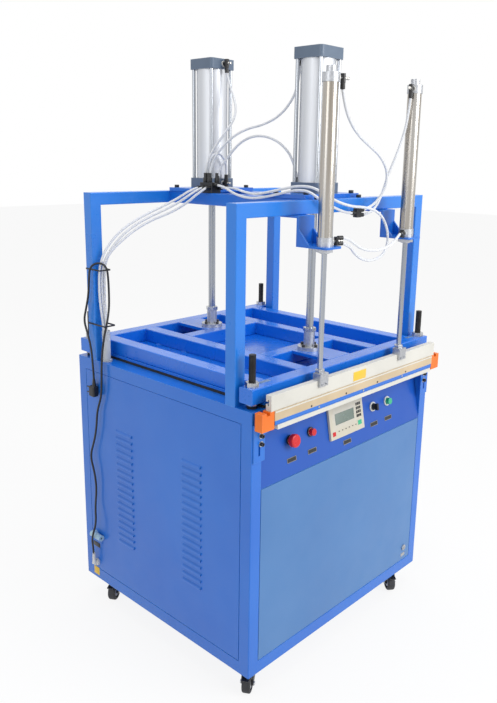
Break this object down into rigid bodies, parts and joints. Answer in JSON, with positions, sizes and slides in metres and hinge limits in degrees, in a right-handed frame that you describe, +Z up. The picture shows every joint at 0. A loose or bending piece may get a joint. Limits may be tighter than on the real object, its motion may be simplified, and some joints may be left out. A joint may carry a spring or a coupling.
{
  "type": "compression packing machine",
  "caption": "Pneumatic compression packing machine: wheeled cabinet, two portals, framed press plate under twin air cylinders and a heat-sealing jaw along the front.",
  "frame": {"origin": "on the floor under the middle of the rigid pieces' box", "axes": "+X to the right seen from the control panel, +Y to the back, +Z up"},
  "size_m": [0.9623, 0.899, 1.923],
  "materials": {
    "cabinet_paint": "satin blue paint",
    "portal_paint": "satin blue paint",
    "control_paint": "darker blue paint",
    "press_paint": "satin blue paint",
    "mat_rubber": "matt black",
    "cap_paint": "slate grey",
    "barrel_aluminium": "anodised",
    "bright_steel": "plated",
    "cast_aluminium": "machined",
    "nickel": "nickel plated",
    "jaw_coat": "cream anodised",
    "strip_tan": "glass-cloth tape",
    "orange_plastic": "moulded",
    "stud_black": "black oxide",
    "terminal_plastic": "beige moulded",
    "bezel_metal": "bright",
    "red_plastic": "moulded",
    "green_plastic": "moulded",
    "black_plastic": "moulded",
    "white_plastic": "moulded",
    "pale_blue_plastic": "moulded",
    "clear_tube": "clear polyurethane",
    "fork_steel": "black",
    "wheel_rubber": "dark grey"
  },
  "bodies": {
    "cabinet": {"cabinet_frame": "cabinet_paint", "side_panels": "cabinet_paint", "back_panel": "cabinet_paint", "front_panel": "cabinet_paint", "control_panel": "control_paint", "floor_panel": "cabinet_paint", "work_table": "cabinet_paint", "table_mat": "mat_rubber", "front_portal": "portal_paint", "back_portal": "portal_paint", "top_rails": "cabinet_paint", "cylinder_mount_plates": "cabinet_paint", "press_caps": "cap_paint", "press_barrels": "barrel_aluminium", "press_tie_rods": "bright_steel", "seal_brackets": "cabinet_paint", "seal_caps": "cast_aluminium", "seal_barrels": "bright_steel", "lower_jaw_strip": "strip_tan", "lower_jaw_base": "cabinet_paint", "lower_jaw_bar": "jaw_coat", "jaw_end_blocks": "orange_plastic", "jaw_brackets": "cabinet_paint", "caster_plates": "bright_steel", "operator_terminal": "terminal_plastic", "button_bezels": "bezel_metal", "flow_fittings": "nickel", "push_fittings": "black_plastic", "hose_sleeve": "clear_tube", "hose_ties": "black_plastic", "air_inlet": "pale_blue_plastic", "door_lock": "bright_steel", "cable_gland": "white_plastic", "power_plug": "black_plastic", "supply_hoses": "clear_tube", "press_hoses": "clear_tube", "seal_hoses": "clear_tube", "power_cord": "black_plastic"},
    "press": {"press_plate": "press_paint", "press_frame": "press_paint", "press_rods": "bright_steel", "rod_sockets": "cast_aluminium", "press_nuts": "bright_steel", "stop_studs": "stud_black"},
    "sealing_jaw": {"upper_jaw": "jaw_coat", "rod_blocks": "cast_aluminium", "jaw_rods": "bright_steel"},
    "estop": {"estop_button": "red_plastic"},
    "red_push": {"red_button": "red_plastic"},
    "green_push": {"green_button": "green_plastic"},
    "selector": {"selector_knob": "black_plastic"},
    "front_left_swivel": {"front_left_fork": "fork_steel"},
    "front_left_roller": {"front_left_wheel": "wheel_rubber"},
    "front_right_swivel": {"front_right_fork": "fork_steel"},
    "front_right_roller": {"front_right_wheel": "wheel_rubber"},
    "back_left_swivel": {"back_left_fork": "fork_steel"},
    "back_left_roller": {"back_left_wheel": "wheel_rubber"},
    "back_right_swivel": {"back_right_fork": "fork_steel"},
    "back_right_roller": {"back_right_wheel": "wheel_rubber"}
  },
  "joints": [
    {"name": "press_slide", "type": "slide", "parent": "cabinet", "child": "press", "axis": [0, 0, 1], "range_m": [0, 0.3]},
    {"name": "jaw_slide", "type": "slide", "parent": "cabinet", "child": "sealing_jaw", "axis": [0, 0, 1], "range_m": [0, 0.3]},
    {"name": "estop_press", "type": "slide", "parent": "cabinet", "child": "estop", "axis": [0, 0.9835, -0.1811], "range_m": [0, 0.005], "stiffness_N_per_m": 900},
    {"name": "red_press", "type": "slide", "parent": "cabinet", "child": "red_push", "axis": [0, 0.9835, -0.1811], "range_m": [0, 0.004], "stiffness_N_per_m": 600},
    {"name": "green_press", "type": "slide", "parent": "cabinet", "child": "green_push", "axis": [0, 0.9835, -0.1811], "range_m": [0, 0.004], "stiffness_N_per_m": 600},
    {"name": "selector_turn", "type": "hinge", "parent": "cabinet", "child": "selector", "pos_m": [0.1555, -0.36549, 0.79126], "axis": [0, -0.9835, 0.1811], "range_deg": [-45, 45]},
    {"name": "front_left_swivel_turn", "type": "hinge", "parent": "cabinet", "child": "front_left_swivel", "pos_m": [-0.3935, -0.3335, 0.06], "axis": [0, 0, 1], "continuous": true},
    {"name": "front_left_wheel_spin", "type": "hinge", "parent": "front_left_swivel", "child": "front_left_roller", "pos_m": [-0.41407, -0.34586, 0.0315], "axis": [0.515, -0.8572, 0], "continuous": true},
    {"name": "front_right_swivel_turn", "type": "hinge", "parent": "cabinet", "child": "front_right_swivel", "pos_m": [0.3745, -0.3335, 0.06], "axis": [0, 0, 1], "continuous": true},
    {"name": "front_right_wheel_spin", "type": "hinge", "parent": "front_right_swivel", "child": "front_right_roller", "pos_m": [0.36006, -0.35267, 0.0315], "axis": [0.7986, -0.6018, 0], "continuous": true},
    {"name": "back_left_swivel_turn", "type": "hinge", "parent": "cabinet", "child": "back_left_swivel", "pos_m": [-0.3935, 0.3545, 0.06], "axis": [0, 0, 1], "continuous": true},
    {"name": "back_left_wheel_spin", "type": "hinge", "parent": "back_left_swivel", "child": "back_left_roller", "pos_m": [-0.41407, 0.34214, 0.0315], "axis": [0.515, -0.8572, 0], "continuous": true},
    {"name": "back_right_swivel_turn", "type": "hinge", "parent": "cabinet", "child": "back_right_swivel", "pos_m": [0.3745, 0.3545, 0.06], "axis": [0, 0, 1], "continuous": true},
    {"name": "back_right_wheel_spin", "type": "hinge", "parent": "back_right_swivel", "child": "back_right_roller", "pos_m": [0.35195, 0.34629, 0.0315], "axis": [0.342, -0.9397, 0], "continuous": true}
  ]
}
